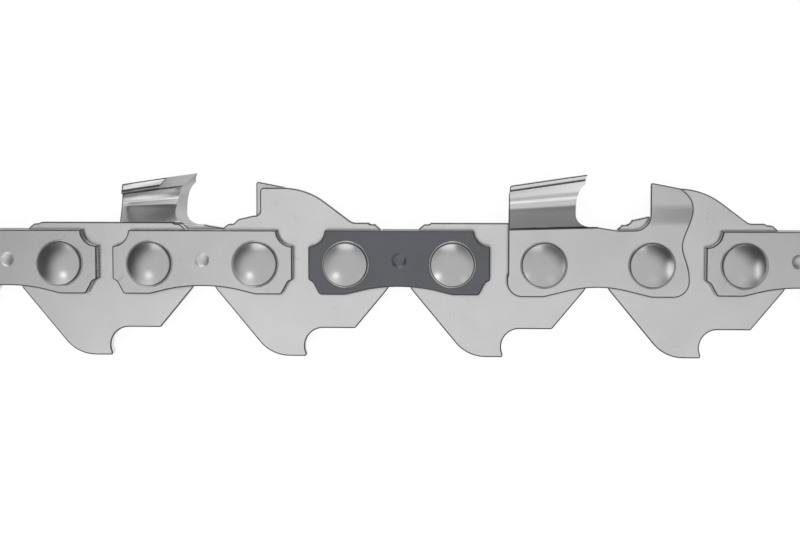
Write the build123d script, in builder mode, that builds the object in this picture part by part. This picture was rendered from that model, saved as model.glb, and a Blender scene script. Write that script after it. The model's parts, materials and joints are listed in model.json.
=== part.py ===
# Straight length of low-profile 3/8 inch saw chain, as it lies on its side.
# +X runs along the chain in the cutting direction, +Y points to the cutting side,
# +Z points up to the right-hand side of the chain. All sizes are millimetres.
# The origin is at the middle of the bounding box, on the surface the chain lies on.

import os
from math import cos, radians, sin, sqrt, tan

from build123d import *

os.makedirs("parts", exist_ok=True)

# Pitch of the chain
pattern_length = 18.64        # two pitches: one drive link and one pair of side plates
drive_share = 0.46            # of that, what lies between the rivet holes of a drive link
drive_hole_spacing = drive_share * pattern_length
strap_hole_spacing = pattern_length - drive_hole_spacing
pair_count = 5                # pairs of side plates along the length

# Drive links
gauge = 1.30                  # drive link thickness
end_radius = 4.60             # round ends, concentric with the rivet holes
drive_top = 3.88              # flat top above the rivet row
step_depth = 0.15             # small step at both ends of the flat top
step_reach = 2.05             # from the hole to the start of the step, along the chain
step_run = 0.15
shoulder_depth = 2.52         # where the round end meets the flank
flank_angle = 50.4            # flanks of the tang, from the rivet row
tang_depth = 8.86             # bottom of the tang below the rivet row
toe_radius = 3.70             # large round from the leading flank to the tang's bottom
flat_share = 0.696            # depth of the underside behind the hook, of the tang's depth
hook_share = 0.634            # radius of the hook's round, of the hook's height
tip_share = 0.114             # straight end of the hook, of the hook's height
hook_x = 0.33                 # hook's vertical face, from the middle of the link
tip_radius = 0.18

# Guard bump on every second drive link
bump_height = 7.17
bump_x = -3.93                # its upright face, from the middle of the link
bump_corner = 0.35
bump_crown = 6.60             # large round from its flat top to its slope
bump_slope = 37.0
bump_foot_x = 4.83            # where the slope meets the flat top of the link
bump_foot_radius = 1.00
bump_step_low = (-6.05, 4.18)
bump_step_high = (-4.60, 4.52)
bump_root_radius = 0.50

# Tie straps
strap_thickness = 1.15
side_play = 0.02              # between a drive link's face and a side plate
strap_top = 3.19
strap_bottom = 2.89
strap_waist = 2.12            # lower edge at mid length
strap_overhang = 3.53         # end of the strap beyond its rivet hole
end_notch_radius = 1.52       # quarter round out of each upper corner
end_low = 1.48                # lower end of the upright end edge
lower_notch = ((0.42, 1.70), (1.05, strap_bottom))   # in from the end, below the row
lower_notch_radius = 0.32
slope_reach = 1.82            # length of the straight slope beside each lower pad
slope_rise = 0.45

# Cutters, sizes from the middle of the pair for the right-hand cutter
cutter_half_width = 3.20      # from the chain's mid plane to the side plate's widest line
heel_x = -8.38
heel_ledge = 0.10             # lower part of the heel stands back a little further
heel_ledge_y = -1.00
heel_radius = 1.40
cutter_bottom = 3.02
cutter_toe_x = 8.56
cutter_toe_radius = 1.50
toe_upright = 0.10            # straight edge between the toe's round and the waist
cutter_waist_x = 7.88         # narrowest place below the depth gauge
cutter_waist_y = 1.90
gauge_bulge_x = 8.86          # widest place of the depth gauge
gauge_bulge_y = 5.30
gauge_front = (7.58, 7.21)    # front end of the depth gauge's top
gauge_height = 7.74
gauge_x = 4.86                # rear face of the depth gauge
gauge_corner = 0.22
gullet_floor = 3.27           # upper edge of the plate behind the depth gauge
gullet_ramp = (0.00, 1.80)    # along the chain, from the ground floor down to that edge
gullet_root = 1.50            # round at the foot of the depth gauge
set_in = 0.15                 # how much thinner the gauge is on its outer side
set_in_low = 3.68
set_in_high = 5.20

top_slope = 8.5               # relief of the top plate, falling to the heel
tip_height = 8.49             # leading corner of the top plate above the row
tip_x = -1.09
front_stock = 0.60            # plate ahead of the tip, ground away
overcut = 0.10                # how far a cut runs past the piece
plate_thickness = 0.97
crease_y = 3.42               # where the side plate starts to flare out
flare_end = (2.90, 4.85)      # end of the flat flare: out from the mid plane, up
widest_y = 5.65
side_relief = 0.22            # narrowing of the side plate from the front to the heel
land_z = 2.25                 # upright land along the top plate's outer edge
land_height = 0.50
inner_edge_z = -0.90          # free edge of the top plate, past the mid plane
edge_bevel = 0.30             # along the lower corner of the free edge
inner_flare_end = (1.98, 5.50)
inner_fold_end = (2.20, 6.35)  # round between the top plate and the side plate, on the inside
inner_fold_fall = 0.64        # how far its end sinks to the heel, of the top plate's own fall
inner_corner_z = 1.35
inner_crease_rise = 0.30      # the flare starts a little higher on the inside
heel_cut = (2.20, 6.00)       # where the heel's slanting cut starts: out from the mid plane, up
heel_lean = 5.4               # of that cut, forward as it rises
heel_slant = 9.1              # and forward towards the free edge

# Ground front of the cutter
grind_angle = 35.0            # cutting edge, from square across the chain
grind_radius = 2.22
grind_y = 5.77                # height of the round's axis
grind_x = -2.28               # deepest point of the ground face, on the widest line
hook_start = 57.0             # where the round turns into the upright face, degrees

# Rivets
shank_radius = 1.75           # the drive link turns on its middle
turn_clearance = 0.04         # radial, in the drive link's hole
seat_clearance = 0.01         # radial, in the side plates' holes
head_radius = 2.10
head_height = 0.66

# Worked out from the values above
plate_inner = gauge / 2 + side_play
plate_outer = plate_inner + strap_thickness
row_y = (tang_depth - tip_height) / 2
mid_z = cutter_half_width
ground_floor = grind_y - grind_radius
drive_count = pair_count + 1


def layer(x, z):
    """Plane parallel to the plates, at a station along the chain and a height over its mid plane."""
    return Plane(origin=(x, row_y, mid_z + z))


def round_corner(sketch, point, radius):
    """Rounds the corner of the sketch that lies nearest to the point."""
    fillet(sketch.vertices().sort_by_distance((point[0], point[1]))[0], radius)


def save(part, name):
    """Labels a finished piece and writes it."""
    part.label = name
    export_step(part, "parts/" + name + ".step")


# Drive links, each with a tang that runs in the bar's groove and a hook for chips

hole_x = drive_hole_spacing / 2
flat_depth = flat_share * tang_depth
hook_radius = hook_share * (tang_depth - flat_depth)
drive_step_y = drive_top - step_depth
end_top = (hole_x + sqrt(end_radius**2 - drive_step_y**2), drive_step_y)
end_low_point = (hole_x + sqrt(end_radius**2 - shoulder_depth**2), -shoulder_depth)
flank_run = (tang_depth - shoulder_depth) / tan(radians(flank_angle))
toe_corner = (-end_low_point[0] + flank_run, -tang_depth)
flat_end = (end_low_point[0] - (flat_depth - shoulder_depth) / tan(radians(flank_angle)), -flat_depth)
hook_top = (hook_x + hook_radius, -flat_depth)
hook_side = (hook_x, -flat_depth - hook_radius)
hook_turn = (1 - hook_share - tip_share) * (tang_depth - flat_depth)
hook_flare = hook_radius - sqrt(hook_radius**2 - hook_turn**2)
hook_tip = (hook_x + hook_flare, hook_side[1] - hook_turn)
crown_corner = (bump_foot_x - (bump_height - drive_top) / tan(radians(bump_slope)), bump_height)


def make_drive_link(name, x, with_bump):
    """One drive link, with or without the guard bump."""
    step_x = hole_x + step_reach
    top_line = [(-end_top[0], end_top[1]), (-step_x - step_run, drive_step_y)]
    if with_bump:
        top_line += [bump_step_low, bump_step_high, (bump_x, bump_step_high[1]), (bump_x, bump_height)]
        top_line += [crown_corner, (bump_foot_x, drive_top)]
    else:
        top_line += [(-step_x, drive_top)]
    top_line += [(step_x, drive_top), (step_x + step_run, drive_step_y), end_top]

    with BuildPart() as link:
        with BuildSketch(layer(x, -gauge / 2)) as outline:
            with BuildLine():
                Polyline(*top_line)
                ThreePointArc(end_top, (hole_x + end_radius, 0), end_low_point)
                Polyline(end_low_point, flat_end, hook_top)
                arc_mid = radians(225)
                ThreePointArc(
                    hook_top,
                    (hook_top[0] + hook_radius * cos(arc_mid - radians(90)),
                     hook_side[1] + hook_radius * sin(arc_mid - radians(90))),
                    hook_side,
                )
                TangentArc(hook_side, hook_tip, tangent=(0, -1))
                Polyline(hook_tip, (hook_tip[0], -tang_depth), toe_corner, (-end_low_point[0], -shoulder_depth))
                ThreePointArc(
                    (-end_low_point[0], -shoulder_depth),
                    (-hole_x - end_radius, 0),
                    (-end_top[0], end_top[1]),
                )
            make_face()
            round_corner(outline, toe_corner, toe_radius)
            round_corner(outline, (hook_tip[0], -tang_depth), tip_radius)
            if with_bump:
                round_corner(outline, (bump_x, bump_step_high[1]), bump_root_radius)
                round_corner(outline, (bump_x, bump_height), bump_corner)
                round_corner(outline, crown_corner, bump_crown)
                round_corner(outline, (bump_foot_x, drive_top), bump_foot_radius)
            with Locations((-hole_x, 0), (hole_x, 0)):
                Circle(shank_radius + turn_clearance, mode=Mode.SUBTRACT)
        extrude(amount=gauge)
    save(link.part, name)


# Tie straps


def plate_base(side):
    """Lowest face of a side plate, over the mid plane: side is 1 on the right and -1 on the left."""
    return plate_inner if side > 0 else -plate_outer


def make_tie_strap(name, x, side):
    """One plain side plate with its two rivet holes."""
    end_x = strap_hole_spacing / 2 + strap_overhang
    pad_x = strap_hole_spacing / 2
    notch_middle = end_notch_radius * sin(radians(45))
    with BuildPart() as strap:
        with BuildSketch(layer(x, plate_base(side))) as outline:
            with BuildLine():
                Line((0, strap_top), (end_x - end_notch_radius, strap_top))
                ThreePointArc(
                    (end_x - end_notch_radius, strap_top),
                    (end_x - notch_middle, strap_top - notch_middle),
                    (end_x, strap_top - end_notch_radius),
                )
                Polyline(
                    (end_x, strap_top - end_notch_radius),
                    (end_x, -end_low),
                    (end_x - lower_notch[0][0], -lower_notch[0][1]),
                    (end_x - lower_notch[1][0], -lower_notch[1][1]),
                    (pad_x, -strap_bottom),
                    (pad_x - slope_reach, slope_rise - strap_bottom),
                )
                TangentArc((0, -strap_waist), (pad_x - slope_reach, slope_rise - strap_bottom), tangent=(1, 0))
                mirror(about=Plane.YZ)
            make_face()
            for way in (-1, 1):
                for inset, depth in lower_notch:
                    round_corner(outline, (way * (end_x - inset), -depth), lower_notch_radius)
            with Locations((-strap_hole_spacing / 2, 0), (strap_hole_spacing / 2, 0)):
                Circle(shank_radius + seat_clearance, mode=Mode.SUBTRACT)
        extrude(amount=strap_thickness)
    save(strap.part, name)


# Cutters: a side plate that flares out and folds over into the top plate


def across(x, side):
    """Plane across the chain at x: its X runs outward from the mid plane, its Y up."""
    return Plane(origin=(x, row_y, mid_z), x_dir=(0, 0, side), z_dir=(-side, 0, 0))


def cutting_section(x, side, station):
    """Section of the side plate and the top plate at one station along the cutter."""
    rise = (station - tip_x) * tan(radians(top_slope))
    top = tip_height + rise
    relief = side_relief * (grind_x - station) / (grind_x - heel_x)
    widest = (cutter_half_width - relief, widest_y + rise / 2)
    flare = (flare_end[0] - relief, flare_end[1] + rise / 4)
    inner_flare = (inner_flare_end[0] - relief, inner_flare_end[1] + rise / 4)
    inner_fold = (inner_fold_end[0] - relief, inner_fold_end[1] + inner_fold_fall * rise)
    under = top - plate_thickness
    land = land_z - relief
    below = crease_y - strap_thickness / 2
    with BuildSketch(across(x + station, side)) as section:
        with BuildLine():
            Polyline((plate_outer, below), (plate_outer, crease_y), flare)
            TangentArc(widest, flare, tangent=(0, -1))
            TangentArc(widest, (land, top - land_height), tangent=(0, 1))
            Polyline(
                (land, top - land_height),
                (land, top),
                (inner_edge_z, top),
                (inner_edge_z, under + edge_bevel),
                (inner_edge_z + edge_bevel, under),
                (inner_corner_z - relief, under),
            )
            TangentArc((inner_corner_z - relief, under), inner_fold, tangent=(1, 0))
            Polyline(
                inner_fold,
                inner_flare,
                (plate_inner, crease_y + inner_crease_rise),
                (plate_inner, below),
                (plate_outer, below),
            )
        make_face()
    return section.sketch


def make_cutter(name, x, side):
    """One cutter: its cutting part, ground front, plate and depth gauge."""
    front = tip_x + front_stock
    spacing = strap_hole_spacing / 2
    toe_end = (cutter_toe_x, cutter_toe_radius + toe_upright - cutter_bottom)
    with BuildPart() as cutter:
        loft(sections=[cutting_section(x, side, station).face() for station in (heel_x, front)], ruled=True)
        heel_face = Plane(
            origin=(x + heel_x, row_y + heel_cut[1], mid_z + side * heel_cut[0]),
            z_dir=(1, -tan(radians(heel_lean)), side * tan(radians(heel_slant))),
        )
        split(bisect_by=heel_face, keep=Keep.TOP)

        turn = radians(grind_angle)
        along = (cos(turn), 0, -side * sin(turn))
        axis_x = x + grind_x + grind_radius / cos(turn)
        grind = Plane(
            origin=(axis_x, row_y + grind_y, mid_z + side * cutter_half_width),
            x_dir=along,
            z_dir=(sin(turn), 0, side * cos(turn)) if side > 0 else (-sin(turn), 0, cos(turn)),
        )
        reach = 4 * cutter_half_width
        lean = radians(hook_start)
        round_end = (-grind_radius * cos(lean), grind_radius * sin(lean))
        tip_u = (x + tip_x - axis_x + (cutter_half_width - land_z) * tan(turn)) * cos(turn)
        tip_v = tip_height - grind_y
        with BuildSketch(grind):
            with BuildLine():
                ThreePointArc(round_end, (-grind_radius, 0), (0, -grind_radius))
                Polyline(
                    (0, -grind_radius),
                    (reach, -grind_radius),
                    (reach, tip_v + reach),
                    (tip_u, tip_v + reach),
                    (tip_u, tip_v),
                    round_end,
                )
            make_face()
        extrude(amount=reach, both=True, mode=Mode.SUBTRACT)

        with BuildSketch(layer(x, plate_base(side))) as outline:
            with BuildLine():
                Polyline(
                    (gauge_x, gullet_floor),
                    (gullet_ramp[1], gullet_floor),
                    (gullet_ramp[0], ground_floor),
                    (heel_x, ground_floor),
                    (heel_x, heel_ledge_y),
                    (heel_x - heel_ledge, heel_ledge_y - heel_ledge),
                    (heel_x - heel_ledge, -cutter_bottom),
                    (-spacing, -cutter_bottom),
                    (slope_reach - spacing, slope_rise - cutter_bottom),
                )
                ThreePointArc(
                    (slope_reach - spacing, slope_rise - cutter_bottom),
                    (0, -strap_waist),
                    (spacing - slope_reach, slope_rise - cutter_bottom),
                )
                Polyline(
                    (spacing - slope_reach, slope_rise - cutter_bottom),
                    (spacing, -cutter_bottom),
                    (cutter_toe_x, -cutter_bottom),
                    toe_end,
                )
                Spline(
                    toe_end,
                    (cutter_waist_x, cutter_waist_y),
                    (gauge_bulge_x, gauge_bulge_y),
                    gauge_front,
                    tangents=((0, 1), (-0.85, 0.53)),
                )
                Polyline(gauge_front, (gauge_x, gauge_height), (gauge_x, gullet_floor))
            make_face()
            round_corner(outline, (heel_x - heel_ledge, -cutter_bottom), heel_radius)
            round_corner(outline, (cutter_toe_x, -cutter_bottom), cutter_toe_radius)
            round_corner(outline, (gauge_x, gauge_height), gauge_corner)
            round_corner(outline, (gauge_x, gullet_floor), gullet_root)
            with Locations((-spacing, 0), (spacing, 0)):
                Circle(shank_radius + seat_clearance, mode=Mode.SUBTRACT)
        extrude(amount=strap_thickness)

        with BuildSketch(across(x + gauge_bulge_x + overcut, side)):
            with BuildLine():
                middle = (set_in_low + set_in_high) / 2
                Spline(
                    (plate_outer, set_in_low),
                    (plate_outer - set_in / 2, middle),
                    (plate_outer - set_in, set_in_high),
                    tangents=((0, 1), (0, 1)),
                )
                Polyline(
                    (plate_outer - set_in, set_in_high),
                    (plate_outer - set_in, gauge_height + set_in),
                    (plate_outer + set_in, gauge_height + set_in),
                    (plate_outer + set_in, set_in_low),
                    (plate_outer, set_in_low),
                )
            make_face()
        gauge_length = gauge_bulge_x + overcut - gauge_x + gullet_root
        extrude(amount=side * gauge_length, mode=Mode.SUBTRACT)
    save(cutter.part, name)


# Rivets, each with a formed head on both sides


def make_rivet(name, x):
    """One rivet, turned about its own axis."""
    profile_plane = Plane(origin=(x, row_y, mid_z), x_dir=(1, 0, 0), z_dir=(0, -1, 0))
    head_top = plate_outer + head_height
    with BuildPart() as rivet:
        with BuildSketch(profile_plane):
            with BuildLine():
                Polyline(
                    (0, -head_top),
                    (head_radius, -head_top),
                    (head_radius, -plate_outer),
                    (shank_radius, -plate_outer),
                    (shank_radius, plate_outer),
                    (head_radius, plate_outer),
                    (head_radius, head_top),
                    (0, head_top),
                    close=True,
                )
            make_face()
        revolve(axis=Axis((x, row_y, mid_z), (0, 0, 1)))
    save(rivet.part, name)


# The length, from left to right: drive links and pairs of side plates in turn

right, left = 1, -1
left_cutter_pair, dark_pair, right_cutter_pair = 1, 2, 3

for index in range(drive_count):
    station = (index - pair_count / 2) * pattern_length
    make_drive_link("drive_link_" + str(index + 1), station, with_bump=index % 2 == 0)

for index in range(pair_count):
    number = str(index + 1)
    station = (index - (pair_count - 1) / 2) * pattern_length
    if index == left_cutter_pair:
        make_tie_strap("tie_strap_right_" + number, station, right)
        make_cutter("left_cutter", station, left)
    elif index == right_cutter_pair:
        make_cutter("right_cutter", station, right)
        make_tie_strap("tie_strap_left_" + number, station, left)
    elif index == dark_pair:
        make_tie_strap("dark_tie_strap_right_" + number, station, right)
        make_tie_strap("tie_strap_left_" + number, station, left)
    else:
        make_tie_strap("tie_strap_right_" + number, station, right)
        make_tie_strap("tie_strap_left_" + number, station, left)
    for end, offset in enumerate((-strap_hole_spacing / 2, strap_hole_spacing / 2)):
        make_rivet("rivet_" + str(2 * index + end + 1), station + offset)
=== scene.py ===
import json
import logging
import math
from collections.abc import Callable
from dataclasses import dataclass
from enum import Enum

import bmesh
import bpy
from mathutils import Matrix, Vector


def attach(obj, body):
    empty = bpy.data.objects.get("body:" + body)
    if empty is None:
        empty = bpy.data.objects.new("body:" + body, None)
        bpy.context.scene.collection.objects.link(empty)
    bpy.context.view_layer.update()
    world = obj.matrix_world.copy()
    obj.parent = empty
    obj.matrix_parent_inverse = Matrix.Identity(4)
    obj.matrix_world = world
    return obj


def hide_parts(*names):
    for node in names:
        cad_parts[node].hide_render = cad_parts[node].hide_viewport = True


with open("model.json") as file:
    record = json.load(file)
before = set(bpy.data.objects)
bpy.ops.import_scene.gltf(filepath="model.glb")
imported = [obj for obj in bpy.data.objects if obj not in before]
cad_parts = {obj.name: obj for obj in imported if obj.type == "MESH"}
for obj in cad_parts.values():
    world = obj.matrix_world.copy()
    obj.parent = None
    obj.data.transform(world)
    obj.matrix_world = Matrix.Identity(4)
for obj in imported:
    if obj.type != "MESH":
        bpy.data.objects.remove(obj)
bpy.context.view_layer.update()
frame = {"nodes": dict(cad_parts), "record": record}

MM = 0.001

# What counts as one point, as touching, and as facing one way roughly or squarely
MERGE_NEAR = 0.0005 * MM
TOUCHING = 0.002 * MM
FACING = 0.9
SQUARE = 0.99

# The face and edge angles, in degrees, and the bevel that all broken edges share
COPLANAR = 0.5
SMOOTH_BELOW = 50.0
BEVEL_SEGMENTS = 2

Point = tuple[float, float]

log = logging.getLogger("saw_chain")


class Grain(Enum):
    """Direction of the fine lines that stamping and tumbling leave on a plate."""

    ALONG = (0.12, 1.0, 1.0)
    NONE = (1.0, 1.0, 1.0)


class Fade(Enum):
    """How a mapped value goes from one end of its range to the other."""

    EVEN = "LINEAR"
    SOFT = "SMOOTHSTEP"


class ShaderTree:
    """A thin wrapper round a material's node tree, so that a finish reads as a recipe."""

    def __init__(self, name: str) -> None:
        """Starts an empty node tree.

        Args:
            name: The new material's name.
        """
        self.material = bpy.data.materials.new(name)
        self.material.use_nodes = True
        self.nodes = self.material.node_tree.nodes
        self.links = self.material.node_tree.links
        self.nodes.clear()

    @classmethod
    def of_world(cls, world: bpy.types.World) -> "ShaderTree":
        """Wraps a world's node tree.

        Args:
            world: The world, with its nodes in use.

        Returns:
            The wrapper, its tree emptied.
        """
        tree = cls.__new__(cls)
        tree.nodes, tree.links = world.node_tree.nodes, world.node_tree.links
        tree.nodes.clear()
        return tree

    def math(self, operation: str, first: object, second: object) -> bpy.types.NodeSocket:
        """Adds a node that works out one value from two.

        Args:
            operation: The Math node's operation.
            first: A number or a socket.
            second: Another, which an operation on one value leaves unused.

        Returns:
            The result's socket.
        """
        node = self.add("Math", operation=operation)
        for socket, value in zip(node.inputs, (first, second)):
            if isinstance(value, bpy.types.NodeSocket):
                self.link(value, socket)
            else:
                socket.default_value = value
        return node.outputs[0]

    def add(self, kind: str, **values: object) -> bpy.types.Node:
        """Adds a node and sets its properties and its sockets' own values.

        Args:
            kind: The node's type, without the leading ShaderNode.
            values: Properties of the node, or input values with blanks written as underscores.

        Returns:
            The new node.
        """
        node = self.nodes.new("ShaderNode" + kind)
        for key, value in values.items():
            if hasattr(node, key):
                setattr(node, key, value)
            else:
                node.inputs[key.replace("_", " ")].default_value = value
        return node

    def link(self, source: bpy.types.NodeSocket, target: bpy.types.NodeSocket) -> None:
        """Links an output socket to an input socket."""
        self.links.new(source, target)

    def noise(
        self, place: bpy.types.NodeSocket, scale: float, detail: float = 2.0, roughness: float = 0.5
    ) -> bpy.types.NodeSocket:
        """Adds a noise texture.

        Args:
            place: The coordinates that it reads.
            scale: Its scale, per metre.
            detail: Its octaves.
            roughness: How strong the finer octaves are.

        Returns:
            The texture's value socket.
        """
        node = self.add("TexNoise", Scale=scale, Detail=detail, Roughness=roughness)
        self.link(place, node.inputs["Vector"])
        return node.outputs["Fac"]

    def spread(
        self,
        value: bpy.types.NodeSocket,
        low: float,
        high: float,
        to_low: float,
        to_high: float,
        fade: Fade = Fade.EVEN,
    ) -> bpy.types.NodeSocket:
        """Maps a range of values to another range, and clamps it.

        Args:
            value: The socket to read.
            low: The value that gives to_low.
            high: The value that gives to_high.
            to_low: The result at the low end.
            to_high: The result at the high end.
            fade: How the result goes from one to the other.

        Returns:
            The mapped value socket.
        """
        node = self.add("MapRange", interpolation_type=fade.value)
        for key, number in (("From Min", low), ("From Max", high), ("To Min", to_low), ("To Max", to_high)):
            node.inputs[key].default_value = number
        self.link(value, node.inputs["Value"])
        return node.outputs["Result"]

    def blend(self, factor: bpy.types.NodeSocket, first: object, second: object) -> bpy.types.NodeSocket:
        """Mixes two colours.

        Args:
            factor: The socket that says how much of the second shows.
            first: A colour, or the socket of one.
            second: A colour, or the socket of one.

        Returns:
            The mixed colour socket.
        """
        node = self.add("Mix", data_type="RGBA")
        self.link(factor, node.inputs[0])
        for socket, colour in ((node.inputs[6], first), (node.inputs[7], second)):
            if isinstance(colour, bpy.types.NodeSocket):
                self.link(colour, socket)
            else:
                socket.default_value = (*colour, 1.0)
        return node.outputs[2]


# Near-black colour painted into inner corners as shade, by how closed in they are
CORNER_SHADE_COLOUR = (0.035, 0.032, 0.030)


@dataclass(frozen=True)
class SteelFinish:
    """A stamped or turned steel surface with grain and stains, and painted shade darkening its inner corners.

    Args:
        name: The material's name.
        slot: The record's slot that it stands for.
        colour: The bare metal's colour.
        stain: The colour of the darker patches.
        stain_share: How strongly the patches show.
        roughness: The metal's middle roughness.
        roughness_spread: How far the roughness wanders from it.
        grain: Which way the fine lines run.
        grain_depth: Height of the fine lines, in millimetres.
        pit_depth: Height of the fine pits, in millimetres.
        corner_shade_dark: How dark the painted shade makes the inner corners, from 0 to 1.
        corner_shade_reach: How far the painted shade reaches out of a corner, in millimetres.
        stain_scale: Scale of the patches, per metre.
        grain_scale: Scale of the fine lines, per metre.
        pit_scale: Scale of the fine pits, per metre.
        grain_octaves: Octaves of the fine lines.
        stain_octaves: Octaves of the patches.
        finer_share: How strong their finer octaves are.
        stain_range: Values of the patches between which the stain comes in.
        line_range: Values of the fine lines between which they darken.
        line_share: How strongly they darken.
        wander_range: Values of the patches between which the roughness wanders.
        corner_shade_range: Openness of a corner between which its painted shade fades.
        corner_shade_samples: Rays that look for a corner, for the painted shade.
        bump_strength: Strength of the lines and the pits.
    """

    name: str
    slot: str
    colour: tuple[float, float, float]
    stain: tuple[float, float, float]
    stain_share: float = 0.35
    roughness: float = 0.26
    roughness_spread: float = 0.02
    grain: Grain = Grain.ALONG
    grain_depth: float = 0.0015
    pit_depth: float = 0.0010
    corner_shade_dark: float = 0.75
    corner_shade_reach: float = 0.35
    stain_scale: float = 260.0
    grain_scale: float = 5200.0
    pit_scale: float = 9000.0
    grain_octaves: float = 3.0
    stain_octaves: float = 5.0
    finer_share: float = 0.6
    stain_range: Point = (0.40, 0.68)
    line_range: Point = (0.52, 0.72)
    line_share: float = 0.35
    wander_range: Point = (0.30, 0.70)
    corner_shade_range: Point = (0.25, 0.85)
    corner_shade_samples: int = 6
    bump_strength: float = 0.6

    def material(self) -> bpy.types.Material:
        """Builds the finish.

        Returns:
            A new material.
        """
        tree = ShaderTree(self.name)
        place = tree.add("TexCoord").outputs["Object"]
        stretched = tree.add("Mapping", Scale=self.grain.value)
        tree.link(place, stretched.inputs["Vector"])
        along = stretched.outputs["Vector"]
        grain = tree.noise(along, self.grain_scale, self.grain_octaves, self.finer_share)
        patches = tree.noise(place, self.stain_scale, self.stain_octaves, self.finer_share)
        pits = tree.noise(place, self.pit_scale)

        stained = tree.spread(patches, *self.stain_range, 0.0, self.stain_share)
        colour = tree.blend(stained, self.colour, self.stain)
        lined = tree.spread(grain, *self.line_range, 0.0, self.line_share)
        colour = tree.blend(lined, colour, self.stain)
        # Painted shade: an ambient-occlusion value darkens inner corners and the gaps between parts towards
        # the corner shade colour
        corners = tree.add("AmbientOcclusion", samples=self.corner_shade_samples, Distance=self.corner_shade_reach * MM)
        corner_shaded = tree.spread(corners.outputs["AO"], *self.corner_shade_range, self.corner_shade_dark, 0.0)
        colour = tree.blend(corner_shaded, colour, CORNER_SHADE_COLOUR)

        smoothest, roughest = self.roughness - self.roughness_spread, self.roughness + self.roughness_spread
        rough = tree.spread(patches, *self.wander_range, smoothest, roughest)
        ridges = tree.add("Bump", Strength=self.bump_strength, Distance=self.grain_depth * MM)
        tree.link(grain, ridges.inputs["Height"])
        pitted = tree.add("Bump", Strength=self.bump_strength, Distance=self.pit_depth * MM)
        tree.link(pits, pitted.inputs["Height"])
        tree.link(ridges.outputs["Normal"], pitted.inputs["Normal"])

        metal = tree.add("BsdfPrincipled", Metallic=1.0)
        tree.link(colour, metal.inputs["Base Color"])
        tree.link(rough, metal.inputs["Roughness"])
        tree.link(pitted.outputs["Normal"], metal.inputs["Normal"])
        output = tree.add("OutputMaterial")
        tree.link(metal.outputs["BSDF"], output.inputs["Surface"])
        return tree.material


DRIVE_STEEL = SteelFinish("drive_steel", "drive_steel", (0.74, 0.74, 0.74), (0.68, 0.68, 0.68))
STRAP_STEEL = SteelFinish("strap_steel", "strap_steel", (0.65, 0.65, 0.65), (0.60, 0.60, 0.60))
DARK_STEEL = SteelFinish("dark_steel", "dark_steel", (0.150, 0.154, 0.164), (0.130, 0.134, 0.143))
CUTTER_CHROME = SteelFinish(
    "cutter_chrome", "cutter_chrome", (0.66, 0.66, 0.66), (0.63, 0.63, 0.63), roughness=0.24, corner_shade_dark=0.15
)
RIVET_STEEL = SteelFinish(
    "rivet_steel",
    "rivet_steel",
    (0.50, 0.50, 0.50),
    (0.45, 0.45, 0.45),
    stain_share=0.3,
    roughness=0.13,
    roughness_spread=0.02,
    grain=Grain.NONE,
    grain_depth=0.0003,
    pit_depth=0.0003,
    corner_shade_reach=0.12,
)
GROUND_STEEL = SteelFinish("ground_steel", "ground", (0.48, 0.48, 0.48), (0.44, 0.44, 0.44), roughness=0.38)
# The bevelled edges get a near-black colour: painted shade standing in for the dark reflections along the
# edges
DARK_EDGE_SHADE = SteelFinish(
    "edges",
    "edges",
    (0.13, 0.13, 0.13),
    (0.09, 0.09, 0.09),
    roughness=0.45,
    grain_depth=0.001,
    corner_shade_dark=0.5,
)


def deselect_all() -> None:
    """Leaves object mode with nothing selected."""
    if bpy.context.mode != "OBJECT":
        bpy.ops.object.mode_set(mode="OBJECT")
    bpy.ops.object.select_all(action="DESELECT")


def take(piece: bpy.types.Object) -> None:
    """Makes a piece the only selected and active one.

    Args:
        piece: The piece.
    """
    deselect_all()
    piece.select_set(True)
    bpy.context.view_layer.objects.active = piece


def rename(name: str) -> bpy.types.Object:
    """Names the new primitive and its mesh.

    Args:
        name: The name of both.

    Returns:
        The primitive.
    """
    piece = bpy.context.object
    piece.name = name
    piece.data.name = name
    return piece


def settle(piece: bpy.types.Object) -> None:
    """Puts a piece's place, turn and size into its mesh, so that its object sits at the origin."""
    take(piece)
    bpy.ops.object.transform_apply(location=True, rotation=True, scale=True)


def select_faces(piece: bpy.types.Object, test: Callable[[Vector, Vector], bool]) -> None:
    """Selects, in edit mode, the faces whose middle and normal pass a test.

    Args:
        piece: The piece being edited.
        test: Takes a face's middle and its normal.
    """
    bpy.ops.mesh.select_mode(type="FACE")
    bpy.ops.mesh.select_all(action="DESELECT")
    mesh = bmesh.from_edit_mesh(piece.data)
    mesh.normal_update()
    for face in mesh.faces:
        if test(face.calc_center_median(), face.normal):
            face.select_set(True)
    bmesh.update_edit_mesh(piece.data)


def select_edges(piece: bpy.types.Object, test: Callable[[Vector, Vector], bool]) -> None:
    """Selects, in edit mode, the edges whose two ends pass a test.

    Args:
        piece: The piece being edited.
        test: Takes an edge's two ends.
    """
    bpy.ops.mesh.select_mode(type="EDGE")
    bpy.ops.mesh.select_all(action="DESELECT")
    mesh = bmesh.from_edit_mesh(piece.data)
    for edge in mesh.edges:
        if test(edge.verts[0].co, edge.verts[1].co):
            edge.select_set(True)
    bmesh.update_edit_mesh(piece.data)


def tidy_mesh(piece: bpy.types.Object, flatter_than: float = COPLANAR) -> None:
    """Merges doubles and joins the faces that lie in one plane.

    Args:
        piece: The piece.
        flatter_than: The angle, in degrees, below which two faces become one.
    """
    take(piece)
    bpy.ops.object.mode_set(mode="EDIT")
    bpy.ops.mesh.select_all(action="SELECT")
    bpy.ops.mesh.remove_doubles(threshold=MERGE_NEAR)
    bpy.ops.mesh.dissolve_limited(angle_limit=math.radians(flatter_than))
    bpy.ops.object.mode_set(mode="OBJECT")


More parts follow.
